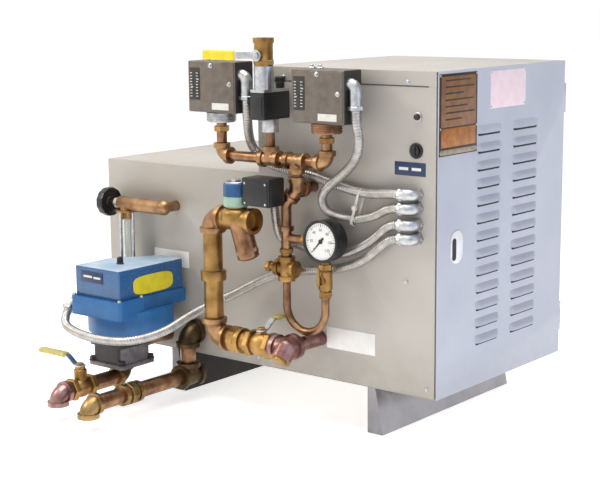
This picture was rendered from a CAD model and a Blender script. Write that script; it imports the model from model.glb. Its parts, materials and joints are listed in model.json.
import bmesh
import bpy
import json
import math
from mathutils import Matrix, Vector

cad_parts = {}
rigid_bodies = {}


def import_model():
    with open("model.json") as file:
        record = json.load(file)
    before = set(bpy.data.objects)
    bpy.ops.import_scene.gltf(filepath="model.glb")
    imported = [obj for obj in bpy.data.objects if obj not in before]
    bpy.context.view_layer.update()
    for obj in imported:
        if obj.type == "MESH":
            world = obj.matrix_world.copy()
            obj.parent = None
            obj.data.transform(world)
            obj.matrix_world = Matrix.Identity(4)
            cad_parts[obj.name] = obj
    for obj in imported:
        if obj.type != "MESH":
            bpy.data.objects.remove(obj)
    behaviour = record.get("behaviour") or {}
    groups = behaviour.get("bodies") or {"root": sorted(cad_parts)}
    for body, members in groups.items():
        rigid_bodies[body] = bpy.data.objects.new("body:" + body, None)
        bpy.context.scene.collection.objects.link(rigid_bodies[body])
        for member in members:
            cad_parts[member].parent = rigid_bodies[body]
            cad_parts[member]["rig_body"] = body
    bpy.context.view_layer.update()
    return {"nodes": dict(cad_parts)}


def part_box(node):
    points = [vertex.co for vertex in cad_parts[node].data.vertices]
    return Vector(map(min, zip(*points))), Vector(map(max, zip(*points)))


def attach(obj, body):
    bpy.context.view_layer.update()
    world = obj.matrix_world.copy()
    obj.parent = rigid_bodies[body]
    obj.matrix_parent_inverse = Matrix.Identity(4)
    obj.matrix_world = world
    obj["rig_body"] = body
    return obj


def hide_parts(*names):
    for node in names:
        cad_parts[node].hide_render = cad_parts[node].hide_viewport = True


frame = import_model()

# Base rails: two channels folded from steel sheet, welded under the casing and sprayed with it.
# They carry the whole boiler, so the paint is scuffed and grey with dirt near the floor.
X = Vector((1, 0, 0))
Y = Vector((0, 1, 0))
Z = Vector((0, 0, 1))
casing_corner = Vector((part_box("access_door")[1].x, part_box("front_panel")[0].y, 0))


def spot(x, y, z):
    """A place in millimetres from the casing's right front edge and the floor, in the frame's metres."""
    return casing_corner + Vector((x, y, z)) / 1000


def paint(code):
    """An sRGB hex colour as linear RGBA."""
    parts = [int(code[i:i + 2], 16) / 255 for i in (1, 3, 5)]
    return tuple(c / 12.92 if c <= 0.04045 else ((c + 0.055) / 1.055) ** 2.4 for c in parts) + (1.0,)


def add_node(tree, kind, links=None, values=None, **settings):
    """A node of a tree, with its settings, its sockets' values and the links that feed it."""
    made = tree.nodes.new(kind)
    for name, value in settings.items():
        setattr(made, name, value)
    for socket, value in (values or {}).items():
        made.inputs[socket].default_value = value
    for socket, source in (links or {}).items():
        tree.links.new(source, made.inputs[socket])
    return made


def noise(tree, scale_mm, detail):
    """A noise pattern in the object's own space, and that space."""
    where = add_node(tree, "ShaderNodeTexCoord").outputs["Object"]
    sizes = {"Scale": 1000 / scale_mm, "Detail": detail}
    return add_node(tree, "ShaderNodeTexNoise", {"Vector": where}, sizes).outputs[0], where


def ranged(tree, source, before, after, **settings):
    """A value moved from one range to another."""
    ends = dict(zip(("From Min", "From Max", "To Min", "To Max"), (*before, *after)))
    return add_node(tree, "ShaderNodeMapRange", {"Value": source}, ends, **settings).outputs[0]


def finish(name, light, dark, patch_mm, grain_mm, rough, metal=0.0, relief=0.1):
    """A finish that drifts between two tones in patches, with a fine grain in its gloss and relief."""
    material = bpy.data.materials.new(name)
    material.use_nodes = True
    tree = material.node_tree
    shade = tree.nodes["Principled BSDF"]
    shade.inputs["Metallic"].default_value = metal
    spread = ranged(tree, noise(tree, patch_mm, 5.0)[0], (0.36, 0.66), (0.0, 1.0))
    tone = add_node(tree, "ShaderNodeMix", {0: spread}, {6: paint(light), 7: paint(dark)}, data_type="RGBA")
    grain = noise(tree, grain_mm, 2.0)[0]
    bump = add_node(tree, "ShaderNodeBump", {"Height": grain}, {"Strength": relief, "Distance": 0.001})
    tree.links.new(tone.outputs[2], shade.inputs["Base Color"])
    tree.links.new(ranged(tree, grain, (0.3, 0.7), rough), shade.inputs["Roughness"])
    tree.links.new(bump.outputs[0], shade.inputs["Normal"])
    return material


def soil(material, low_mm, high_mm, amount, tone):
    """Dirt over a finish: thickest at one height from the floor, fading out in patches at another."""
    tree = material.node_tree
    colour = tree.nodes["Principled BSDF"].inputs["Base Color"]
    clean = colour.links[0].from_socket
    patches, where = noise(tree, 22, 6.0)
    height = add_node(tree, "ShaderNodeSeparateXYZ", {"Vector": where}).outputs["Z"]
    fade = ranged(tree, height, (low_mm / 1000, high_mm / 1000), (amount, 0.0))
    share = add_node(tree, "ShaderNodeMath", {0: fade, 1: patches}, operation="MULTIPLY").outputs[0]
    dirty = add_node(tree, "ShaderNodeMix", {0: share, 6: clean}, {7: paint(tone)}, data_type="RGBA")
    tree.links.new(dirty.outputs[2], colour)


def placed(name, data):
    """A new object in the scene."""
    made = bpy.data.objects.new(name, data)
    bpy.context.scene.collection.objects.link(made)
    return made


def fit(name, mesh, materials, body="boiler", stands_for=()):
    """Puts a finished mesh in the scene as a piece of that body."""
    for material in materials:
        mesh.materials.append(material)
    mesh.shade_smooth()
    mesh.set_sharp_from_angle(angle=math.radians(32))
    piece = placed(name, mesh)
    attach(piece, body)
    if stands_for:
        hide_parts(*stands_for)


def as_mesh(bm):
    """The plain mesh of a finished edit."""
    mesh = bpy.data.meshes.new("shape")
    bm.to_mesh(mesh)
    bm.free()
    return mesh


def filled(bm):
    """The plain mesh of a finished edit, with doubled corners joined and its faces outwards."""
    bmesh.ops.remove_doubles(bm, verts=bm.verts, dist=1e-6)
    bmesh.ops.recalc_face_normals(bm, faces=bm.faces)
    return as_mesh(bm)


def softened(node, edge_mm, materials, pick=None):
    """A node's own shape with its sharp edges rounded; pick gives a face its finish by place and side."""
    source = frame["nodes"][node].data
    bm = bmesh.new()
    corners = [bm.verts.new(vertex.co) for vertex in source.vertices]
    for polygon in source.polygons:
        bm.faces.new([corners[i] for i in polygon.vertices])
    bmesh.ops.remove_doubles(bm, verts=bm.verts, dist=1e-5)
    bmesh.ops.dissolve_limit(bm, angle_limit=math.radians(0.4), verts=bm.verts, edges=bm.edges)
    sharp = [
        edge for edge in bm.edges
        if len(edge.link_faces) == 2 and edge.calc_face_angle() > math.radians(34)
    ]
    bmesh.ops.bevel(
        bm, geom=sharp, offset=edge_mm / 1000, segments=2, profile=0.6, affect="EDGES", clamp_overlap=True
    )
    if pick:
        for face in bm.faces:
            place = (face.calc_center_median() - casing_corner) * 1000
            face.material_index = int(pick(place, face.normal))
    fit(node + "_finished", as_mesh(bm), materials, frame["nodes"][node]["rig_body"], [node])


# Air-dried enamel: an even satin skin, dull where it is dirty, with bare undercoat on one web.
rail_enamel = finish("rail_enamel", "#b3b0b3", "#a29fa3", 60, 2.5, (0.38, 0.55), relief=0.08)
soil(rail_enamel, 0, 90, 0.75, "#5a5854")
rail_web = finish("rail_web_enamel", "#b3b0b3", "#a29fa3", 60, 2.5, (0.38, 0.55), relief=0.08)
soil(rail_web, 84, 42, 1.6, "#2e2b2c")
rail_undercoat = finish("rail_undercoat", "#2d2827", "#221e1d", 40, 2.5, (0.5, 0.7))


def on_rail(place, way):
    """A rail's finish: enamel on its ends, grime under the pan on the webs, undercoat on the left one."""
    if abs(way.x) < 0.6:
        return 0
    return 1 if place.x > -400 else 2


softened("base_rails", 1.0, [rail_enamel, rail_web, rail_undercoat], on_rail)

# Casing: panels of steel sheet folded at their edges and screwed together, then finished in baked enamel.
# Thin dark joints show between the panels; handling and splashes have soiled the lower edges.
casing_enamel = finish("casing_baked_enamel", "#c4bfb7", "#bbb5ac", 140, 3.0, (0.34, 0.46), relief=0.06)
soil(casing_enamel, 84, 190, 0.5, "#857c6e")
for panel in (
    "base_pan", "front_panel", "back_panel", "low_end_panel", "low_lid", "tall_side_panel", "tall_lid",
):
    softened(panel, 0.7, [casing_enamel])

# Seam of the tall lid: its flange is folded down over the front and back, and a dark joint shows below it.
# The joint is the shadow in the gap between the flange and the panel under it.
casing_depth = 428
lid_flange_mm = 25.0
lid_seam_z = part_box("tall_lid")[1].z * 1000 - lid_flange_mm


def slab(bm, low, high, edge_mm, material=0):
    """A block between two corners, in casing millimetres, with every edge rounded."""
    others = set(bm.faces)
    made = bmesh.ops.create_cube(bm, size=1.0)["verts"]
    middle = spot(*[(a + b) / 2 for a, b in zip(low, high)])
    for vertex in made:
        vertex.co = middle + Vector([c * (b - a) / 1000 for c, a, b in zip(vertex.co, low, high)])
    edges = list({edge for vertex in made for edge in vertex.link_edges})
    bmesh.ops.bevel(bm, geom=edges, offset=edge_mm / 1000, segments=2, profile=0.5, affect="EDGES")
    for face in bm.faces:
        if face not in others:
            face.material_index = material


joint_shadow = finish("joint_shadow", "#5d5a58", "#514e4c", 20, 2.0, (0.6, 0.8))
seam = bmesh.new()
for seam_y in (0, casing_depth):
    slab(seam, (-391, seam_y - 0.4, lid_seam_z - 1.4), (-20, seam_y + 0.4, lid_seam_z + 0.6), 0.1)
fit("tall_lid_seam", filled(seam), [joint_shadow])

# Screws of the casing: zinc plated hex-head sheet-metal screws with a pressed washer.
# They hold the panels to the frame along the back, the low end and the foot of the front.
zinc_plate = finish("zinc_plated_steel", "#c6c8c9", "#a9abac", 9, 0.7, (0.24, 0.4), metal=1.0, relief=0.05)
screw_washer_mm = [(4.6, 0.0), (4.6, 0.7), (3.9, 1.1)]
screw_hex_mm = [(3.7, 1.0), (3.7, 3.2), (3.0, 3.8)]
low_end_x = -788


def around(count):
    """The cosine and sine of evenly spaced angles round a full turn."""
    angles = [2 * math.pi * step / count for step in range(count)]
    return [(math.cos(angle), math.sin(angle)) for angle in angles]


def facing(way, up=Z):
    """A turn whose third axis points that way, with its second axis upwards."""
    across = up.cross(way).normalized()
    return Matrix((across, way.cross(across), way)).transposed()


def joined(bm, rings):
    """The faces between closed rings of corners that follow one another."""
    faces = []
    for low, high in zip(rings, rings[1:]):
        for step in range(len(low)):
            after = (step + 1) % len(low)
            faces.append(bm.faces.new((low[step], low[after], high[after], high[step])))
    return faces


def capped(bm, outlines, material=0):
    """A shape through outlines that follow one another, closed at both ends."""
    rings = [[bm.verts.new(place) for place in outline] for outline in outlines]
    for face in [bm.faces.new(rings[0][::-1]), bm.faces.new(rings[-1])] + joined(bm, rings):
        face.material_index = material


def turned(bm, base, way, profile_mm, sides=32, material=0):
    """A turned shape, or with few sides a prism: radius and height pairs along an axis."""
    turn = facing(way, Z if abs(way.z) < 0.9 else Y)
    outlines = []
    for radius, height in profile_mm:
        ring = [Vector((radius * a, radius * b, height)) for a, b in around(sides)]
        outlines.append([base + turn @ (place / 1000) for place in ring])
    capped(bm, outlines, material)


def item_of(*profiles):
    """A small turned item at the origin, from profiles and their numbers of sides."""
    bm = bmesh.new()
    for profile_mm, sides in profiles:
        turned(bm, Vector(), Z, profile_mm, sides)
    return filled(bm)


def new_tree(name, **inputs):
    """An empty geometry node tree with those inputs, and its input sockets."""
    tree = bpy.data.node_groups.new(name, "GeometryNodeTree")
    for socket, kind in inputs.items():
        tree.interface.new_socket(socket, in_out="INPUT", socket_type="NodeSocket" + kind)
    tree.interface.new_socket("Result", in_out="OUTPUT", socket_type="NodeSocketGeometry")
    return tree, add_node(tree, "NodeGroupInput").outputs


def end_tree(tree, shape, material):
    """Gives a tree's shape its finish and hands it out."""
    coated = add_node(tree, "GeometryNodeSetMaterial", {"Geometry": shape, "Material": material})
    add_node(tree, "NodeGroupOutput", {0: coated.outputs[0]})


def plain_mesh(data, tree=None, **inputs):
    """The plain mesh of a text, curve or mesh, grown by a node tree where one is given."""
    holder = placed("holder", data)
    if tree:
        modifier = holder.modifiers.new("nodes", "NODES")
        modifier.node_group = tree
        for item in tree.interface.items_tree:
            if item.name in inputs:
                modifier[item.identifier] = inputs[item.name]
    mesh = bpy.data.meshes.new_from_object(holder.evaluated_get(bpy.context.evaluated_depsgraph_get()))
    bpy.data.objects.remove(holder)
    return mesh


# One copy of an item at each point, turned as the point says and then by chance about its own axis.
set_out, given = new_tree("set_out", Places="Geometry", Item="Object", Spin="Float", Finish="Material")
turn_node = add_node(
    set_out, "GeometryNodeInputNamedAttribute", values={"Name": "turn"}, data_type="FLOAT_VECTOR"
)
base_turn = add_node(set_out, "FunctionNodeEulerToRotation", {0: turn_node.outputs[0]})
chance = add_node(set_out, "FunctionNodeRandomValue", {3: given["Spin"]}, {"Seed": 11})
own_turn = add_node(set_out, "FunctionNodeAxisAngleToRotation", {"Angle": chance.outputs[1]})
whole_turn = add_node(
    set_out, "FunctionNodeRotateRotation", {0: base_turn.outputs[0], 1: own_turn.outputs[0]},
    rotation_space="LOCAL",
).outputs[0]
item_shape = add_node(set_out, "GeometryNodeObjectInfo", {"Object": given["Item"]}).outputs["Geometry"]
copies = add_node(
    set_out, "GeometryNodeInstanceOnPoints",
    {"Points": given["Places"], "Instance": item_shape, "Rotation": whole_turn},
)
real = add_node(set_out, "GeometryNodeRealizeInstances", {0: copies.outputs[0]})
end_tree(set_out, real.outputs[0], given["Finish"])


def fit_row(name, item_mesh, places, material, spin=0.0, body="boiler"):
    """A piece with a copy of the item at each place, given as a point and a turn."""
    base = bpy.data.meshes.new("places")
    base.from_pydata([point for point, turn in places], [], [])
    angles = base.attributes.new("turn", "FLOAT_VECTOR", "POINT")
    for number, (point, turn) in enumerate(places):
        angles.data[number].vector = turn.to_euler()
    item = placed("item", item_mesh)
    mesh = plain_mesh(base, set_out, Item=item, Spin=spin, Finish=material)
    bpy.data.objects.remove(item)
    fit(name, mesh, [], body)


def grid(way, xs, ys, zs):
    """Places for a row, in casing millimetres, that all face one way."""
    return [(spot(x, y, z), facing(way)) for x in xs for y in ys for z in zs]


screw_head = item_of((screw_washer_mm, 16), (screw_hex_mm, 6))
casing_screws = grid(Y, (-770, -590, -412), [casing_depth], (100, 432))
casing_screws += grid(Y, (-372, -200, -60), [casing_depth], (100, 606))
casing_screws += grid(-X, [low_end_x], (16, 214, 412), (100, 434))
casing_screws += grid(-Y, [-63], [0], [284]) + grid(-Y, (-772, -400, -20), [0], [100])
casing_screws += grid(-Y, (-62, -330), [0], [lid_seam_z + 6])
fit_row("casing_screws", screw_head, casing_screws, zinc_plate, 1.0)

# Inside the cabinet: a primed partition, the bolted flange that carries the heating elements, and the vessel.
# They show only with the door open, and are plain plate in shop primer.
shop_primer = finish("grey_shop_primer", "#a9a8a2", "#97968f", 45, 1.5, (0.55, 0.75))
dark_primer = finish("dark_iron_primer", "#55504c", "#443f3c", 40, 1.5, (0.55, 0.75), relief=0.12)
flange_middle = spot(-174, 214, 266.5)
bolt_circle_mm = 105


def coat(material, *nodes):
    """Gives nodes whose own shape is right a finish."""
    for node in nodes:
        frame["nodes"][node].material_slots[0].material = material


coat(shop_primer, "partition_panel")
coat(dark_primer, "pressure_vessel", "vessel_saddles")
softened("element_flange", 1.2, [dark_primer])
bolt_head = item_of(([(9.0, 0.0), (9.0, 1.4), (8.4, 1.6)], 20), ([(7.6, 1.5), (7.6, 7.4), (6.4, 8.4)], 6))
flange_bolts = [
    (flange_middle + Vector((0, a, b)) * bolt_circle_mm / 1000, facing(X)) for a, b in around(12)
]
fit_row("flange_bolts", bolt_head, flange_bolts, zinc_plate, 1.0)

# Electrical gear: three moulded contactors over a fuse block, screwed to the partition.
# The cases are black phenolic with plated terminal screws and a pale push-plate on each contactor.
black_moulding = finish("black_phenolic", "#101011", "#18181a", 12, 0.8, (0.26, 0.42), relief=0.06)
pale_moulding = finish("pale_nylon", "#d9d6cb", "#cbc8bc", 15, 0.8, (0.35, 0.5), relief=0.05)
contactor_face, fuse_face = -114.5, -146
softened("electrical_gear", 2.0, [black_moulding])
push_plates = bmesh.new()
terminals = []
for middle in (130, 214, 298):
    slab(push_plates, (contactor_face, middle - 14, 462), (-108, middle + 14, 492), 1.5)
    for rib_z in (496, 454):
        slab(push_plates, (contactor_face, middle - 26, rib_z), (-111, middle + 26, rib_z + 4), 0.8)
    terminals += grid(X, [-114], (middle - 18, middle, middle + 18), (446, 509))
terminals += grid(X, [fuse_face], range(124, 305, 20), (400, 425))
fit("contactor_push_plates", filled(push_plates), [pale_moulding])
fit_row("terminal_screws", screw_head, terminals, zinc_plate, 1.0)

# Access door: one folded sheet with two columns of pressed louvres, hung on pin hinges at the back edge.
# Each louvre is lanced and drawn outwards, so a dark slit shows under its lip; the latch is a recessed pull.
door_enamel = finish("door_baked_enamel", "#bfc3cc", "#b5bac5", 140, 3.0, (0.34, 0.46), relief=0.06)
soil(door_enamel, 84, 150, 0.35, "#8d8a86")
softened("access_door", 0.7, [door_enamel])
coat(zinc_plate, "door_hinges")
louvre_height_mm = 14.0
louvre_depth_mm = 6.5
slit_height_mm = 4.6
louvre_lip_z = 532.0
louvre_pitch = 30.94
louvre_rows = 13


def louvre_hood(width):
    """A pressed hood that rises from the sheet to its lip, rounded off at both ends."""
    bm = bmesh.new()
    across, down = 14, 5
    grid = []
    for column in range(across + 1):
        along = column / across * 2 - 1
        end = max(0.0, 1 - abs(along) ** 6) ** 0.5
        line = []
        for step in range(down + 1):
            share = step / down
            rise = louvre_depth_mm * end * math.sin(share * math.pi / 2) ** 1.3
            line.append((along * width / 2, louvre_height_mm * (1 - share), rise - 0.05))
        line.append((along * width / 2, 0.6, rise * 0.55 - 0.4))
        grid.append([bm.verts.new(Vector(place) / 1000) for place in line])
    for left, right in zip(grid, grid[1:]):
        for step in range(down + 1):
            bm.faces.new((left[step], left[step + 1], right[step + 1], right[step]))
    bmesh.ops.remove_doubles(bm, verts=bm.verts, dist=1e-6)
    return as_mesh(bm)


def flat(outline):
    """A flat face through places in millimetres."""
    bm = bmesh.new()
    bm.faces.new([bm.verts.new(Vector(place) / 1000) for place in outline])
    return filled(bm)


def louvre_slit(width):
    """The dark opening under a hood's lip."""
    half = width / 2 - 2
    corners = ((-half, 0.8), (-half + 3, -slit_height_mm), (half - 3, -slit_height_mm), (half, 0.8))
    return flat([(along, down, 0.15) for along, down in corners])


louvre_shadow = finish("louvre_opening", "#26272b", "#303136", 20, 2.0, (0.7, 0.85))
for column, column_y, width in (("near", 160, 80), ("far", 284, 90)):
    places = grid(X, [0], [column_y], [louvre_lip_z - row * louvre_pitch for row in range(louvre_rows)])
    hood, slit = louvre_hood(width), louvre_slit(width)
    fit_row("door_louvres_" + column, hood, places, door_enamel, body="door")
    fit_row("door_louvre_slits_" + column, slit, places, louvre_shadow, body="door")


def pill(x, middle_y, low, high, radius):
    """An upright outline with round ends, in casing millimetres."""
    outline = []
    for a, b in around(32):
        centre = high - radius if b >= 0 else low + radius
        outline.append(spot(x, middle_y + radius * a, centre + radius * b))
    return outline


latch = bmesh.new()
capped(latch, (pill(-0.5, 57, 315, 372, 19), pill(1.8, 57, 315, 372, 19)))
capped(latch, (pill(1.7, 57, 315, 372, 19), pill(2.6, 57, 317, 370, 17.4)))
capped(latch, (pill(2.5, 47.5, 321, 360, 6.4), pill(2.75, 47.5, 321, 360, 6.2)), 1)
slab(latch, (2.4, 57, 327), (3.0, 67, 356), 0.25)
latch_enamel = finish("latch_white_enamel", "#f0f0ee", "#e6e6e4", 30, 1.0, (0.28, 0.4), relief=0.04)
fit("door_latch_pull", filled(latch), [latch_enamel, louvre_shadow], "door", ["door_latch"])

# Plates on the door: a printed brass-toned instruction plate and a pale label, both left bare.
# They are thin aluminium fixed with small drive screws; the brass tone has browned unevenly.
plate_bronze = finish(
    "lacquered_brass_plate", "#7c5840", "#93683f", 14, 1.2, (0.35, 0.55), metal=0.3, relief=0.08
)
plate_border = finish("plate_dark_border", "#2c2019", "#3d2b1e", 14, 1.2, (0.4, 0.55), metal=0.2)
plate_orange = finish("plate_orange_band", "#b8773c", "#99602f", 12, 1.2, (0.35, 0.5), metal=0.25)
plate_rose = finish("pale_rose_label", "#f1dde0", "#ebd3d7", 18, 1.5, (0.4, 0.55), relief=0.03)
plate_foot = finish("plate_pale_foot", "#a89a84", "#94866f", 12, 1.2, (0.35, 0.5), metal=0.2)
plates = bmesh.new()
slab(plates, (-0.3, 1, 502.5), (1.0, 118, 639.5), 0.5, 1)
slab(plates, (0.4, 6, 551), (1.4, 113, 635), 0.3, 0)
slab(plates, (0.4, 6, 517), (1.4, 113, 548.5), 0.3, 2)
slab(plates, (0.4, 4, 504.5), (1.4, 115, 513), 0.3, 4)
slab(plates, (-0.3, 162, 572), (0.8, 282, 637), 0.4, 3)
for step, reach in enumerate((84, 96, 62, 92, 74, 96, 58)):
    rule_z = 627 - step * 10.8
    slab(plates, (1.2, 18, rule_z), (1.6, 12 + reach, rule_z + 2.6), 0.1, 1)
plate_finishes = [plate_bronze, plate_border, plate_orange, plate_rose, plate_foot]
fit("door_plates", filled(plates), plate_finishes, "door")
pin_head = item_of(([(2.0, 0.0), (2.0, 0.5), (1.3, 1.0), (0.4, 1.2)], 12))
plate_pins = grid(X, [0.8], (3.5, 115.5), (509, 549, 637)) + grid(X, [0.6], (165, 279), (575, 634))
fit_row("door_plate_pins", pin_head, plate_pins, zinc_plate, body="door")

# Front of the cabinet: a pilot lamp and a rotary switch in round bezels, a blue plate and a white label.
# The bezels are black moulding clamped through the sheet; the plates are left bare.
lamp_seat, switch_seat = spot(-41, 0.5, 568), spot(-44, 0.5, 511)
lamp = bmesh.new()
turned(lamp, lamp_seat, -Y, [(8.4, 0), (8.4, 3.0), (7.6, 3.8), (6.2, 3.8)], 32, 2)
turned(lamp, lamp_seat, -Y, [(5.8, 3.0), (5.6, 6.0), (4.2, 8.2), (1.8, 9.2), (0.2, 9.4)], 24, 1)
turned(lamp, switch_seat, -Y, [(13.4, 0), (13.4, 2.4), (12.4, 3.2), (9.2, 3.2)], 36)
turned(lamp, switch_seat, -Y, [(8.8, 2.6), (8.4, 6.4), (7.4, 7.4)], 28)
slab(lamp, (-46.2, -9.4, 501.5), (-41.8, -4, 520.5), 1.0)
lamp_lens = finish("pilot_lens", "#3a1713", "#2c100d", 8, 1.0, (0.1, 0.18))
fit(
    "panel_lamp_and_switch", filled(lamp), [black_moulding, lamp_lens, zinc_plate],
    stands_for=["panel_indicators"],
)
plate_white = finish("white_label_stock", "#fbfaf8", "#f4f2ee", 18, 1.5, (0.4, 0.55), relief=0.03)
plate_blue = finish("blue_plate_enamel", "#243a63", "#1d3054", 20, 1.5, (0.3, 0.45), relief=0.03)
labels = bmesh.new()
slab(labels, (-88, -0.8, 468), (-25, 0.3, 491), 0.4, 0)
slab(labels, (-79, -1.0, 477), (-60, -0.4, 482), 0.1, 1)
slab(labels, (-53, -1.0, 477), (-34, -0.4, 482), 0.1, 1)
slab(labels, (-236, -0.8, 143), (-129, 0.3, 182), 0.4, 1)
slab(labels, (-664, -0.8, 249), (-572, 0.3, 281), 0.4, 1)
fit("front_plates", filled(labels), [plate_blue, plate_white])

# Feed water line: one-inch brass pipe and bronze fittings screwed up with jointing paste.
# Handling and heat have browned the castings unevenly; the machined collars stay brighter.
cast_bronze = finish("cast_bronze", "#b18d67", "#815f43", 26, 1.1, (0.3, 0.44), metal=1.0, relief=0.06)
drawn_brass = finish("drawn_brass", "#b28d56", "#826238", 34, 1.4, (0.35, 0.44), metal=1.0, relief=0.02)
browned_copper = finish("browned_copper", "#a68061", "#704f3a", 24, 1.2, (0.28, 0.42), metal=1.0, relief=0.04)
rosy_copper = finish("rosy_copper", "#a98580", "#7c5a57", 22, 1.1, (0.24, 0.4), metal=1.0, relief=0.06)
feed_y, feed_run_z, feed_top_z = -100, 158, 378
feed_valve_x = -306
valve_length_mm = 56
valve_end_mm = 12
grip_start_mm = 35.9


def on_feed_tee(place, way):
    """A feed fitting's metal: bronze elbows, a copper tee, and the brass plug that closes it."""
    if place.x < -290:
        return 0
    plug_side = -(place.y - feed_y) - (place.z - feed_run_z)
    return 2 if plug_side > 31 else 1


def nut(bm, base, way, radius, height, edge=1.0, sides=6, material=0, rise=1.0):
    """A nut whose corners are turned off at both ends."""
    inner = radius - edge
    profile = [(inner, 0), (radius, rise), (radius, height - rise), (inner, height)]
    turned(bm, base, way, profile, sides, material)


softened("feed_fittings", 1.6, [cast_bronze, rosy_copper, drawn_brass], on_feed_tee)
softened("feed_pipes", 1.4, [drawn_brass, rosy_copper], lambda place, way: place.x > -270)
feed_union = bmesh.new()
nut(feed_union, spot(-371, feed_y, feed_run_z), X, 25.6, 15.4, 1.4, 8, rise=1.4)
fit("feed_union_nut", filled(feed_union), [drawn_brass])


def ball_valve(node, middle, flow, collar, stem):
    """A ball valve's body: hexagon ends, a round belly, the stem's gland and the nut over the lever."""
    bm = bmesh.new()
    start = middle - flow * valve_length_mm / 2000
    for end in (start, start + flow * (valve_length_mm - valve_end_mm) / 1000):
        nut(bm, end, flow, collar + 1.7, valve_end_mm, 1.6, rise=1.6)
    belly = [(-5.8, 11), (-5.2, 14), (-3, 18), (-1.7, 23), (-1.3, 28)]
    belly += [(inset, valve_length_mm - along) for inset, along in belly[-2::-1]]
    turned(bm, start, flow, [(collar + inset, along) for inset, along in belly], 36)
    turned(bm, middle, Z, [(12, collar - 9), (12, stem - 5.6), (10.6, stem - 4.6)], 28)
    turned(bm, middle, Z, [(9.9, stem - 5), (9.9, stem - 0.8), (9, stem - 0.1)], 6)
    turned(bm, middle, Z, [(3.95, stem - 4), (3.95, stem + 6.2)], 16)
    turned(bm, middle, Z, [(6.6, stem + 3.5), (6.9, stem + 4), (6.9, stem + 6.2), (6.0, stem + 6.9)], 6)
    fit(node + "_finished", filled(bm), [drawn_brass], stands_for=[node])


def lever_with_grip(node, root, arm, grip):
    """A lever's cranked strip in plated steel, with a dipped grip on its outer part."""
    softened(
        node, 0.9, [zinc_plate, grip],
        lambda place, way: (place - root).dot(arm) > grip_start_mm,
    )


faded_vinyl = finish("faded_yellow_vinyl", "#d8cd7c", "#c3b663", 26, 1.6, (0.34, 0.5), relief=0.08)
ball_valve("feed_valve", spot(feed_valve_x, feed_y, feed_run_z), X, 23.5, 24)
lever_with_grip("feed_valve_lever", Vector((feed_valve_x, feed_y, feed_run_z + 24)), Y, faded_vinyl)

# Solenoid valve on the feed line: a brass body with a domed bonnet and a strainer leg, and a round coil.
# The coil is potted in blue and pale green plastic under a steel cap; the terminal box is black moulding.
strainer_tilt = math.radians(18)
strainer_way = Vector((math.sin(strainer_tilt), 0, -math.cos(strainer_tilt)))
strainer_cap = spot(-332.4, feed_y, 311.4) - strainer_way * 0.016
coil_x = -360


def on_strainer(place, way):
    """Whether a place is on the strainer's leg, below the valve's body."""
    return (place - Vector((-354, feed_y, feed_top_z))).dot(strainer_way) > 19


softened("feed_solenoid", 1.6, [drawn_brass, browned_copper], on_strainer)
solenoid_trim = bmesh.new()
bonnet_mm = [(27.6, 0), (27.2, 1.6), (24.5, 5), (20.5, 7.6), (17.2, 8.8), (17.0, 10.4)]
turned(solenoid_trim, spot(coil_x, feed_y, 391), Z, bonnet_mm, 36)
nut(solenoid_trim, strainer_cap, strainer_way, 21.6, 8, material=1)
turned(solenoid_trim, strainer_cap, strainer_way, [(17, 14), (15.5, 17.5), (11, 19.6), (4, 20.6)], 28, 1)
fit("solenoid_bonnet_and_cap", filled(solenoid_trim), [drawn_brass, browned_copper])
coil_blue = finish("coil_blue_plastic", "#2d5f93", "#24507f", 14, 1.0, (0.3, 0.45), relief=0.05)
coil_green = finish("coil_pale_green", "#a9c8b4", "#98b9a4", 14, 1.0, (0.3, 0.45), relief=0.05)
coil = bmesh.new()
for profile_mm, sides, material in (
    ([(20.5, 0), (22.6, 1.2), (22.9, 3), (22.9, 18), (22.4, 19)], 40, 1),
    ([(22.3, 18.6), (22.95, 19.6), (22.95, 39.5), (22.2, 41.5), (20.8, 42.6)], 40, 0),
    ([(20, 42), (20, 44.2), (18.6, 45.2), (9, 45.2)], 36, 2),
    ([(8.4, 44.8), (8.4, 47.6), (7.4, 48.6)], 6, 2),
):
    turned(coil, spot(coil_x, feed_y, 401.6), Z, profile_mm, sides, material)
fit(
    "solenoid_coil_potted", filled(coil), [coil_blue, coil_green, zinc_plate],
    stands_for=["solenoid_coil"],
)
softened("solenoid_box", 3.0, [black_moulding])
box_lid = bmesh.new()
slab(box_lid, (-333.5, -113.4, 407.5), (-278, -111.4, 451.5), 0.8)
slab(box_lid, (-274.9, -108.5, 407.5), (-273.2, -72.5, 451.5), 0.7)
fit("solenoid_box_lid", filled(box_lid), [black_moulding])
lid_screws = grid(-Y, (-329, -282.5), [-113.2], (412, 447))
fit_row("solenoid_box_screws", pin_head, lid_screws, zinc_plate)

# Control manifold: half-inch copper-toned pipe with bronze elbows, tees and crosses.
# It feeds both pressure controls, the steam valve and the gauge from one nipple through the casing.
manifold_y = -50
control_places = {"pressure_control_left": (-436, 562), "pressure_control_right": (-195, 554)}


def on_manifold(place, way):
    """A manifold fitting's metal: bronze above, browned below it, and a brass cross over the siphon."""
    if place.z > 452:
        return 0
    return 1 if place.z > 318 else 2


softened("manifold_fittings", 1.3, [cast_bronze, browned_copper, drawn_brass], on_manifold)
softened("manifold_nipples", 0.9, [browned_copper])
hex_necks = bmesh.new()
for middle_x, low in control_places.values():
    nut(hex_necks, spot(middle_x, manifold_y, low - 35), Z, 14.4, 10, 0.8)
nut(hex_necks, spot(-287, manifold_y, 318), Z, 13, 9, 0.8)
turned(hex_necks, spot(-249, manifold_y, 346), X, [(9.6, 0), (10.2, 0.8), (10.2, 6), (9.4, 7)], 6)
turned(hex_necks, spot(-331, manifold_y, 290), -X, [(9.4, -8), (10.2, -7.2), (10.2, 0), (9.4, 1)], 6)
fit("manifold_hex_necks", filled(hex_necks), [drawn_brass])

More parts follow.
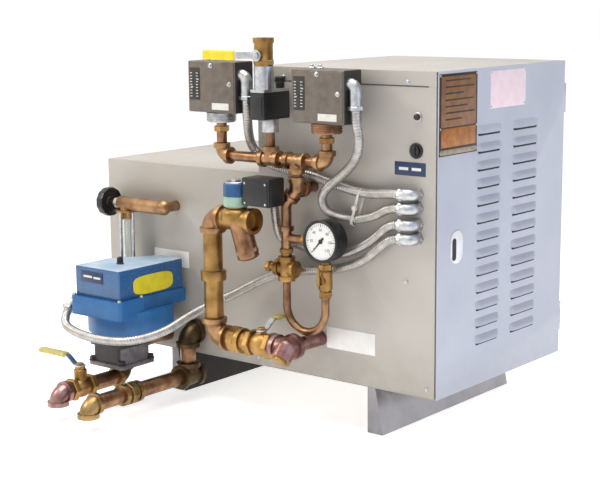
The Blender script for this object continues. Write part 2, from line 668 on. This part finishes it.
# Pressure controls: two steel cases with a slotted scale in the cover, each on a round bellows base.
# The covers are grey-brown hammer enamel; the back plates are darker, and the bases are zinc plated.
hammer_enamel = finish(
    "hammer_enamel_brown", "#756b61", "#675e55", 14, 2.2, (0.32, 0.48), metal=0.15, relief=0.12
)
shaded_enamel = finish(
    "hammer_enamel_dark", "#35322f", "#2b2826", 9, 2.2, (0.35, 0.5), metal=0.15, relief=0.2
)
scale_white = finish("scale_white_print", "#eceae4", "#e0ddd6", 8, 0.8, (0.45, 0.6))
control_half_width = 57
adjuster_mm = [(7, 0), (7, 3), (6, 4), (3.2, 4), (3.2, 7.5), (2.6, 8)]
for node, (middle_x, low) in control_places.items():
    softened(
        node, 1.4, [hammer_enamel, shaded_enamel],
        lambda place, way: place.y > -42 or way.x > 0.6,
    )
    left, right = middle_x - control_half_width, middle_x + control_half_width
    cover = bmesh.new()
    slab(cover, (left + 3, -77.6, low + 3), (right - 3, -75.4, low + 89), 1.2, 0)
    slab(cover, (left + 6, -78.1, low + 22), (left + 31, -77.2, low + 80), 0.4, 1)
    for step in range(9):
        mark_z = low + 28 + step * 5.2
        for mark_x in (left + 8, left + 22):
            slab(cover, (mark_x, -78.5, mark_z), (mark_x + 4.5, -77.9, mark_z + 1.3), 0.1, 2)
    for slide_x, slide_z in ((left + 10.5, low + 44), (left + 24.5, low + 58)):
        slab(cover, (slide_x, -79, slide_z), (slide_x + 4.3, -77.8, slide_z + 2.4), 0.2, 3)
    slab(cover, (middle_x + 2, -78.1, low + 6), (middle_x + 42, -77.2, low + 18), 0.3, 2)
    slab(cover, (left + 0.5, -43, low + 1), (right + 0.8, -40.5, low + 91), 0.5, 1)
    for screw_x in (middle_x - 32, middle_x - 14):
        turned(cover, spot(screw_x, manifold_y, low + 91), Z, adjuster_mm, 16, 3)
    cover_finishes = [hammer_enamel, shaded_enamel, scale_white, zinc_plate]
    fit(node + "_cover", filled(cover), cover_finishes)
    cover_screws = grid(-Y, [middle_x], [-77.4], [low + 84]) + grid(-Y, [middle_x + 44], [-77.4], [low + 52])
    fit_row(node + "_screws", screw_head, cover_screws, zinc_plate, 1.0)
softened("control_bases", 1.6, [zinc_plate, browned_copper], lambda place, way: place.x > -300)
bellows_mm = []
for step in range(4):
    bellows_mm += [(r, h + step * 4) for r, h in ((26.2, -15.5), (27.4, -14.5), (27.4, -13.4), (26.2, -12.4))]
bellows = bmesh.new()
for metal, (middle_x, low) in enumerate(control_places.values()):
    turned(bellows, spot(middle_x, manifold_y, low), Z, bellows_mm, 40, metal)
fit("control_base_ribs", filled(bellows), [zinc_plate, browned_copper])

# Gauge on its siphon: a bent copper tube, a brass cock and a round gauge in a black steel case.
# The white dial carries plain numbers and black marks; the pointer rests at zero behind a glass.
gauge_x, gauge_z = -200, 349
dial_middle = spot(gauge_x, -63, gauge_z)
dial_turn = facing(-Y)
softened("siphon_tube", 0.6, [browned_copper])
softened("gauge_cock", 1.0, [drawn_brass])
cock = bmesh.new()
nut(cock, spot(gauge_x, manifold_y, 249), Z, 12.4, 10)
nut(cock, spot(gauge_x, manifold_y, 297), Z, 12.4, 11)
turned(cock, spot(gauge_x, manifold_y, 280), -Y, [(8.2, 0), (8.2, 15), (7.2, 16.5), (4, 16.5), (4, 19)], 20)
slab(cock, (-203, -72, 271), (-197, -67.5, 303), 1.6)
fit("gauge_cock_trim", filled(cock), [drawn_brass])
softened("pressure_gauge", 1.6, [black_moulding])
dial_enamel = finish("dial_white_enamel", "#fbfbf8", "#f5f5f1", 30, 2.0, (0.45, 0.6), relief=0.02)
dial_black = finish("dial_black_print", "#161616", "#202020", 10, 1.0, (0.5, 0.65))
coat(dial_enamel, "gauge_dial")


def on_dial(angle, radius, lift=0.15):
    """A place on the dial: an angle from the right-hand side, a radius and a lift in millimetres."""
    place = Vector((math.cos(angle) * radius, math.sin(angle) * radius, lift))
    return dial_middle + dial_turn @ (place / 1000)


def tick(length, width):
    """One printed mark, lying along its own first axis."""
    a, b = length / 2, width / 2
    return flat([(-a, -b, 0), (a, -b, 0), (a, b, 0), (-a, b, 0)])


long_marks, short_marks = [], []
for step in range(31):
    angle = math.radians(225 - step * 9)
    marks, radius = (short_marks, 29.2) if step % 5 else (long_marks, 28.2)
    marks.append((on_dial(angle, radius), dial_turn @ Matrix.Rotation(angle, 3, "Z")))
fit_row("dial_long_marks", tick(5.2, 1.1), long_marks, dial_black)
fit_row("dial_short_marks", tick(3.0, 0.6), short_marks, dial_black)
numbers = bmesh.new()
for step in range(7):
    words = bpy.data.curves.new("number", "FONT")
    words.body = str(step * 20)
    words.size = 0.0072
    words.align_x = "CENTER"
    words.align_y = "CENTER"
    number = plain_mesh(words)
    place = on_dial(math.radians(225 - step * 45), 20.5)
    number.transform(Matrix.Translation(place) @ dial_turn.to_4x4())
    numbers.from_mesh(number)
fit("dial_numbers", as_mesh(numbers), [dial_black])
pointer = bmesh.new()
pointer_turn = dial_turn @ Matrix.Rotation(math.radians(228), 3, "Z")
pointer_mm = [(-9, -2.2), (0, -1.5), (26, -0.35), (26, 0.35), (0, 1.5), (-9, 2.2)]
pointer_sides = []
for lift in (0.8, 1.3):
    pointer_sides.append([dial_middle + pointer_turn @ (Vector((a, b, lift)) / 1000) for a, b in pointer_mm])
capped(pointer, pointer_sides)
turned(pointer, dial_middle, -Y, [(4.0, 0.1), (4.0, 1.5), (3.2, 2.0)], 20)
fit("gauge_pointer", filled(pointer), [dial_black])
bezel = bmesh.new()
bezel_sides = 64
bezel_mm = [(33.2, 0.8), (34.0, 0), (36.2, 0), (37.4, 1.2), (37.4, 5), (36.6, 5.8)]
turned(bezel, spot(gauge_x, -66.6, gauge_z), Y, bezel_mm, bezel_sides)
for face in [face for face in bezel.faces if len(face.verts) == bezel_sides]:
    bezel.faces.remove(face)
fit("gauge_bezel", filled(bezel), [black_moulding])

# Low water cut-off: a blue enamelled switch cover over a blue base casting, on an iron float chamber.
# The cover is held by screws through the base's lugs; its plates are left bare.
blue_enamel = finish("blue_enamel", "#1f5d94", "#195488", 40, 2.2, (0.2, 0.32), relief=0.05)
blue_gloss = blue_enamel.node_tree.nodes["Principled BSDF"].inputs
blue_gloss["Coat Weight"].default_value = 0.5
blue_gloss["Coat Roughness"].default_value = 0.1
dusty_blue = finish("dusty_blue_enamel", "#c3d2e2", "#9dbbd6", 40, 2.2, (0.3, 0.45), relief=0.05)
blue_casting = finish("blue_painted_casting", "#236ca9", "#1d609b", 30, 1.8, (0.28, 0.44), relief=0.12)
painted_iron = finish("black_painted_iron", "#2a2829", "#3a3634", 18, 1.3, (0.4, 0.62), relief=0.25)
worn_iron = finish("worn_grey_iron", "#8a8588", "#6c686a", 16, 1.3, (0.4, 0.6), relief=0.2)
plate_yellow = finish("yellow_plate", "#efe032", "#e0cf24", 20, 1.5, (0.35, 0.5), relief=0.03)
oval_y, oval_z = -98, 237
chamber_x, chamber_y = -648, -114
softened("cutoff_cover", 0.8, [blue_enamel, dusty_blue], lambda place, way: way.z > 0.8)
softened("cutoff_base", 1.6, [blue_casting])
softened("cutoff_chamber", 2.0, [painted_iron, worn_iron], lambda place, way: way.x > 0.6)
coat(browned_copper, "cutoff_nipple")
cutoff_trim = bmesh.new()
oval = []
for a, b in around(32):
    squared = (a ** 4 + b ** 4) ** (-1 / 4)
    oval.append((a * squared * 53, b * squared * 18))
oval_back = [spot(-573.7, oval_y + along, oval_z + rise) for along, rise in oval]
oval_front = [spot(-572.5, oval_y + along * 0.985, oval_z + rise * 0.96) for along, rise in oval]
capped(cutoff_trim, (oval_back, oval_front))
slab(cutoff_trim, (-674, -188.0, 243), (-616, -186.6, 264), 0.4, 3)
slab(cutoff_trim, (-667, -188.4, 252), (-644, -187.8, 256), 0.1, 2)
slab(cutoff_trim, (-640, -188.4, 251), (-622, -187.8, 255), 0.1, 2)
cover_knob_mm = [(7.4, 0), (7.4, 2), (6, 3), (6.4, 9), (5.4, 13), (2, 14.6)]
turned(cutoff_trim, spot(-628, -130, 271.4), Z, cover_knob_mm, 24, 1)
cutoff_finishes = [plate_yellow, black_moulding, scale_white, plate_blue]
fit("cutoff_plates_and_knob", filled(cutoff_trim), cutoff_finishes)
lug_screws = grid(Z, (-693, -571), [-190], [215]) + grid(Z, (-693, -571), [-134], [215])
fit_row("cutoff_lug_screws", screw_head, lug_screws, zinc_plate, 1.0)
chamber_flanges = bmesh.new()
slab(chamber_flanges, (-692, -158, 72.2), (-604, -70, 81), 2.0, 0)
slab(chamber_flanges, (-690, -156, 112), (-606, -72, 119), 2.0, 1)
fit("cutoff_chamber_flanges", filled(chamber_flanges), [worn_iron, painted_iron])
chamber_bolts = []
for bolt_z, way, reach in ((119, -Z, 36), (81, Z, 38)):
    sides = [(middle - reach, middle + reach) for middle in (chamber_x, chamber_y)]
    chamber_bolts += grid(way, *sides, [bolt_z])
fit_row("chamber_bolts", bolt_head, chamber_bolts, painted_iron, 1.0)

# Sight glass: two bronze gauge valves with black hand-wheels, a glass tube and four guard rods.
# Brass gland nuts clamp the glass; the rods are plated steel screwed into the valves' plates.
clear_glass = bpy.data.materials.new("clear_glass")
clear_glass.use_nodes = True
glass_tree = clear_glass.node_tree
glass_shade = glass_tree.nodes["Principled BSDF"].inputs
glass_shade["Base Color"].default_value = paint("#f2f8f6")
glass_shade["Transmission Weight"].default_value = 1.0
glass_shade["IOR"].default_value = 1.47
glass_haze = ranged(glass_tree, noise(glass_tree, 14, 3.0)[0], (0.4, 0.8), (0.0, 0.08))
glass_tree.links.new(glass_haze, glass_shade["Roughness"])
valve_y, upper_valve_z, lower_valve_z = -35, 369, 104
wheel_back_x, wheel_radius_mm, grip_depth = -743, 28.9, 0.035
softened("gauge_valves", 1.2, [cast_bronze])
coat(zinc_plate, "guard_rods")
coat(clear_glass, "sight_glass")
glands = bmesh.new()
for valve_z, way in ((upper_valve_z, -Z), (lower_valve_z, Z)):
    stem_seat = spot(-719, valve_y, valve_z)
    gland_mm = [(13.4, 16.5), (14.6, 17.5), (14.6, 27), (12.4, 29.6)]
    turned(glands, spot(-704, valve_y, valve_z), way, gland_mm, 6)
    turned(glands, stem_seat, -X, [(12.4, -3), (13.4, -2), (13.4, 3.4), (11, 5)], 6)
    turned(glands, stem_seat, -X, [(9.6, 4.8), (10.6, 5.6), (10.6, 12.6), (9.4, 14.2)], 6, 1)
fit("sight_glass_gland_nuts", filled(glands), [drawn_brass, zinc_plate])


def hand_wheel(node, z, body):
    """A moulded hand-wheel: twelve shallow finger grips round a dished face, open for the stem."""
    bm = bmesh.new()
    section = [(0.15, 2.0), (0.36, 2.0), (0.42, 5.0), (0.72, 5.6), (0.9, 1.2), (0.97, 1.6), (1.0, 5.0)]
    section += [(1.0, 13.0), (0.96, 16.6), (0.88, 17.6), (0.7, 13.2), (0.42, 13.2)]
    section += [(0.36, 17.4), (0.15, 17.4)]
    rings = []
    for share, depth in section:
        ring = []
        for (a, b), (grip, _) in zip(around(96), around(8) * 12):
            radius = wheel_radius_mm * share * (1 - grip_depth * share ** 6 * (0.5 + 0.5 * grip))
            ring.append(bm.verts.new(spot(wheel_back_x - depth, valve_y + radius * a, z + radius * b)))
        rings.append(ring)
    joined(bm, rings + rings[:1])
    fit(node + "_wheel", filled(bm), [black_moulding], body, [node])


hand_wheel("gauge_knob_upper", upper_valve_z, "gauge_knob")
hand_wheel("gauge_knob_lower", lower_valve_z, "boiler")

# Drain and blow-down: one-inch brass fittings that end in open elbows near the floor.
# The blow-down has its own ball valve; splashes have dulled both runs.
tarnished_brass = finish(
    "tarnished_brass", "#a98d5e", "#6e5535", 22, 1.2, (0.26, 0.42), metal=1.0, relief=0.07
)
olive_brass = finish("darkened_brass", "#64533a", "#3f3223", 22, 1.2, (0.3, 0.5), metal=1.0, relief=0.14)
softened(
    "drain_fittings", 1.6, [tarnished_brass, rosy_copper, olive_brass],
    lambda place, way: 2 if place.y > -125 else 1 if place.x < -615 and place.y < -258 else 0,
)
softened("drain_nipples", 0.8, [browned_copper])
union = bmesh.new()
nut(union, spot(-552, -197.7, 46), Y, 22, 15.4, 1.4, 8, rise=1.4)
fit("drain_union_nut", filled(union), [tarnished_brass])
ball_valve("blowdown_valve", spot(-645, -225, 50), Y, 20, 40)
lever_with_grip("blowdown_lever", Vector((-645, -225, 90)), -X, faded_vinyl)

# Steam outlet: a black solenoid valve on a short nipple, with a bright ring, plate and collar.
# Above it stands a brass ball valve with a dipped lever; its mouth is open.
steam_x = -321
yellow_vinyl = finish("dipped_yellow_vinyl", "#f3e02f", "#e8d226", 30, 1.6, (0.3, 0.42), relief=0.06)
softened("steam_nipple", 0.6, [browned_copper])
softened("steam_control_valve", 1.6, [black_moulding])
softened("steam_valve_collars", 1.0, [zinc_plate])
softened("steam_ball_valve", 1.0, [drawn_brass])
lever_with_grip("steam_valve_lever", Vector((steam_x, -84, 667)), -X, yellow_vinyl)
steam_trim = bmesh.new()
turned(steam_trim, spot(steam_x, -66, 650), Z, [(17.6, 0), (19, 1.2), (19, 8), (17.6, 9)], 6)
turned(steam_trim, spot(steam_x, -22, 607.5), Z, [(8, 0), (8, 9), (9.5, 11), (9.5, 19), (8, 21)], 24, 1)
turned(steam_trim, spot(steam_x, -84.3, 667), -Y, [(6.4, 3.2), (6.8, 3.6), (6.8, 5.6), (6.0, 6.2)], 6, 2)
slab(steam_trim, (-333, -87.6, 561), (-309, -86, 597), 0.7, 1)
slab(steam_trim, (-305.4, -82, 561), (-303.8, -20, 597), 0.7, 1)
fit("steam_valve_trim", filled(steam_trim), [drawn_brass, black_moulding, zinc_plate])

# Conduits: flexible galvanised steel strip wound in ribs, in zinc elbow connectors with lock nuts.
# Each runs from a control, the coil or the cut-off to its own elbow on the front of the cabinet.
conduit_radius_mm = 8.6
rib_pitch_mm = 5.2
rib_depth = 0.09
galvanised_strip = finish(
    "galvanised_strip", "#bab7b2", "#a09d98", 12, 0.9, (0.22, 0.36), metal=0.8, relief=0.05
)
ribbed, given = new_tree(
    "ribbed_conduit", Line="Geometry", Radius="Float", Pitch="Float", Depth="Float", Finish="Material"
)


def sum_of(operation, *terms):
    """A step of arithmetic in the conduit's tree, on sockets and plain numbers."""
    links = {place: term for place, term in enumerate(terms) if not isinstance(term, float)}
    values = {place: term for place, term in enumerate(terms) if isinstance(term, float)}
    return add_node(ribbed, "ShaderNodeMath", links, values, operation=operation).outputs[0]


line = add_node(ribbed, "GeometryNodeMeshToCurve", {"Mesh": given["Line"]})
fine_line = add_node(
    ribbed, "GeometryNodeResampleCurve",
    {"Curve": line.outputs[0], "Length": sum_of("DIVIDE", given["Pitch"], 5.0)}, mode="LENGTH",
)
travelled = add_node(ribbed, "GeometryNodeSplineParameter").outputs["Length"]
rib_angle = sum_of("MULTIPLY", sum_of("DIVIDE", travelled, given["Pitch"]), 2 * math.pi)
hollow = sum_of("MULTIPLY_ADD", sum_of("SINE", rib_angle), -0.5, 0.5)
width = sum_of("SUBTRACT", 1.0, sum_of("MULTIPLY", hollow, given["Depth"]))
round_section = add_node(
    ribbed, "GeometryNodeCurvePrimitiveCircle", {"Radius": given["Radius"]}, {"Resolution": 18}
)
tube = add_node(
    ribbed, "GeometryNodeCurveToMesh",
    {"Curve": fine_line.outputs[0], "Profile Curve": round_section.outputs[0], "Scale": width},
    {"Fill Caps": True},
)
end_tree(ribbed, tube.outputs[0], given["Finish"])
left_end, left_lead = (-367, -60, 587), (-367, -60, 567)
right_end, right_lead = (-126, -60, 579), (-126, -60, 559)
coil_end, coil_lead = (-316.7, -47, 407.5), (-316.7, -47, 387.5)
cutoff_end, cutoff_lead = (-720.5, -182, 180), (-717, -195, 167)
panel_elbow_x, panel_line_y = -40, -22
panel_elbow_zs = (438, 414, 386, 362)
panel_ends = [((-84, panel_line_y, z), (-64, panel_line_y, z)) for z in panel_elbow_zs]
conduit_routes = {
    "conduit_left_control": [
        left_end, left_lead, (-372, -52, 548), (-384, -36, 522), (-388, -22, 498), (-368, -15, 474),
        (-330, -13, 462), (-263, -12, 456), (-215, -12, 444), (-140, -17, 431), *panel_ends[0],
    ],
    "conduit_right_control": [
        right_end, right_lead, (-122, -56, 536), (-127, -50, 512), (-142, -42, 490), (-172, -30, 468),
        (-200, -30, 448), (-224, -30, 424), (-222, -25, 400), (-196, -22, 388), (-156, -20, 386),
        (-114, -22, 396), *panel_ends[1],
    ],
    "conduit_solenoid": [
        coil_end, coil_lead, (-314, -38, 340), (-296, -19, 330), (-245, -17, 322), (-205, -18, 320),
        (-165, -20, 328), (-115, -22, 356), *panel_ends[2],
    ],
    "conduit_cutoff": [
        cutoff_end, cutoff_lead, (-694, -212, 156), (-642, -222, 150), (-585, -220, 147), (-535, -200, 148),
        (-500, -150, 160), (-490, -95, 182), (-470, -55, 200), (-425, -32, 224), (-348, -24, 266),
        (-275, -20, 284), (-205, -20, 291), (-134, -21, 316), *panel_ends[3],
    ],
}
for node, route in conduit_routes.items():
    curve = bpy.data.curves.new("route", "CURVE")
    curve.dimensions = "3D"
    curve.resolution_u = 12
    spline = curve.splines.new("NURBS")
    spline.points.add(len(route) - 1)
    for point, place in zip(spline.points, route):
        point.co = (*spot(*place), 1.0)
    spline.order_u = 3
    spline.use_endpoint_u = True
    conduit = plain_mesh(
        plain_mesh(curve), ribbed, Radius=conduit_radius_mm / 1000, Pitch=rib_pitch_mm / 1000,
        Depth=rib_depth, Finish=galvanised_strip,
    )
    fit(node + "_ribbed", conduit, [], stands_for=[node])


def bent_connector(bm, corner, seat_way, seat_mm, line_way, line_mm):
    """A cast elbow connector: a round bend between the seat on a case and the clamp on the conduit."""
    bend, radius = 0.012, 0.0108
    axis = seat_way.cross(line_way)
    inside = corner + (seat_way + line_way) * bend
    stations = [(corner + seat_way * seat_mm / 1000, seat_way)]
    for step in range(9):
        angle = math.pi / 2 * step / 8
        out = -line_way * math.cos(angle) - seat_way * math.sin(angle)
        stations.append((inside + out * bend, seat_way * math.cos(angle) - line_way * math.sin(angle)))
    stations.append((corner + line_way * line_mm / 1000, -line_way))
    outlines = []
    for centre, way in stations:
        side = axis.cross(way)
        outlines.append([centre + (axis * a + side * b) * radius for a, b in around(24)])
    capped(bm, outlines)


cutoff_way = Vector((0, -1, -1)).normalized()
connectors = bmesh.new()
bent_connector(connectors, spot(-367, -60, 630), -X, 12, -Z, 43)
bent_connector(connectors, spot(-126, -60, 622), -X, 12, -Z, 43)
bent_connector(connectors, spot(-316.7, -47, 431.5), -Y, 22, -Z, 24)
bent_connector(connectors, spot(-720.5, -165, 197), X, 22, cutoff_way, 24)
lock_nuts = bmesh.new()
for z in panel_elbow_zs:
    bent_connector(connectors, spot(panel_elbow_x, panel_line_y, z), Y, 22, -X, 24)
    turned(lock_nuts, spot(panel_elbow_x, 0, z), -Y, [(12.0, 0), (12.0, 5), (11.2, 6)], 6)
    turned(lock_nuts, spot(-56, panel_line_y, z), -X, [(11.6, 0), (11.9, 0.8), (11.9, 7), (11.2, 8)], 6)
for end, way in ((left_end, Z), (right_end, Z), (coil_end, Z), (cutoff_end, -cutoff_way)):
    nut(lock_nuts, spot(*end), way, 14.2, 7, sides=8)
fit("conduit_elbow_connectors", filled(connectors), [zinc_plate], stands_for=["conduit_connectors"])
fit("conduit_lock_nuts", filled(lock_nuts), [zinc_plate])

# Strap: a narrow nylon tie that holds two of the conduits together near the cabinet.
# It is one closed loop with a small square head, pulled tight round both.
strap_width_mm = 4.6
strap_inner_mm, strap_outer_mm = 9.0, 10.2
strap_low, strap_high = Vector((-158, -20, 386)), Vector((-146, -17, 432))
strap_way = (strap_high - strap_low).normalized()
strap_side = strap_way.cross(-Y).normalized() * strap_width_mm / 2
strap = bmesh.new()
loops = []
for reach, side in ((strap_inner_mm, 1), (strap_outer_mm, 1), (strap_outer_mm, -1), (strap_inner_mm, -1)):
    loop = []
    for a, b in around(40):
        centre = strap_high if b >= 0 else strap_low
        place = centre + (strap_way * b - Y * a) * reach + strap_side * side
        loop.append(strap.verts.new(spot(*place)))
    loops.append(loop)
joined(strap, loops + loops[:1])
slab(strap, (-156, -33, 404), (-148, -26.5, 412), 1.0)
strap_nylon = finish("natural_nylon", "#dcdad3", "#cfccc4", 10, 1.0, (0.35, 0.5), relief=0.04)
fit("conduit_strap", filled(strap), [strap_nylon])

# Floor, light and camera: a plain pale floor, soft studio light, and the photograph's viewing angle.
# The light comes mostly from above, warm from the front left and cooler from the door's side.
floor_reach, floor_drop = 15, -0.0005
floor_ways = ((-1, -1), (1, -1), (1, 1), (-1, 1))
floor_corners = [(a * floor_reach, b * floor_reach, floor_drop) for a, b in floor_ways]
floor = bpy.data.meshes.new("floor")
floor.from_pydata(floor_corners, [], [(0, 1, 2, 3)])
floor_paint = finish("pale_floor", "#fbfbfb", "#f8f8f8", 400, 20, (0.7, 0.8), relief=0.0)
floor_shade = floor_paint.node_tree.nodes["Principled BSDF"].inputs
floor_shade["Emission Color"].default_value = paint("#ffffff")
floor_shade["Emission Strength"].default_value = 0.62
floor.materials.append(floor_paint)
floor_piece = placed("floor", floor)

# The backdrop is white to the eye and dimmer as a light; in reflections it is brightest to the upper left.
world = bpy.data.worlds.new("studio")
world.use_nodes = True
sky = world.node_tree
window_way = (-0.45, -0.55, 0.7)
backdrop = sky.nodes["Background"].inputs
backdrop["Color"].default_value = paint("#ffffff")
ray = add_node(sky, "ShaderNodeLightPath").outputs
looking = add_node(sky, "ShaderNodeTexCoord").outputs["Generated"]
window = add_node(sky, "ShaderNodeVectorMath", {0: looking}, {1: window_way}, operation="DOT_PRODUCT")
plain = ranged(sky, ray["Is Diffuse Ray"], (0.0, 1.0), (1.0, 0.35))
mirrored = ranged(
    sky, window.outputs["Value"], (-0.15, 0.9), (0.42, 1.35), interpolation_type="SMOOTHSTEP"
)
strength = add_node(
    sky, "ShaderNodeMix", {0: ray["Is Glossy Ray"], 2: plain, 3: mirrored}, data_type="FLOAT"
)
sky.links.new(strength.outputs[0], backdrop["Strength"])
bpy.context.scene.world = world
bpy.context.scene.view_settings.view_transform = "Standard"
for name, place, size, power, tone in (
    ("overhead", (-0.1, 0.0, 2.7), 2.0, 51, "#ffffff"),
    ("key", (-1.6, -1.7, 2.1), 0.5, 17, "#fff0dc"),
    ("door_side", (2.8, -0.1, 1.3), 1.8, 13, "#bcccff"),
):
    lamp_data = bpy.data.lights.new(name, "AREA")
    lamp_data.size = size
    lamp_data.energy = power
    lamp_data.color = paint(tone)[:3]
    light = placed(name, lamp_data)
    light.location = place
    light.rotation_euler = (Vector(place) - Vector((0, 0, 0.3))).to_track_quat("Z", "Y").to_euler()
view_turn, view_rise, view_roll = 38.7968, 10.4142, -0.5184
view = Matrix.Translation(spot(1306.7, -1994.3, 783.3))
for angle, axis in ((view_turn, "Z"), (90 - view_rise, "X"), (view_roll, "Z")):
    view = view @ Matrix.Rotation(math.radians(angle), 4, axis)
camera = placed("camera", bpy.data.cameras.new("camera"))
camera.data.sensor_width = 36
camera.data.lens = 86.23
camera.matrix_world = view
bpy.context.scene.camera = camera

bpy.context.view_layer.update()
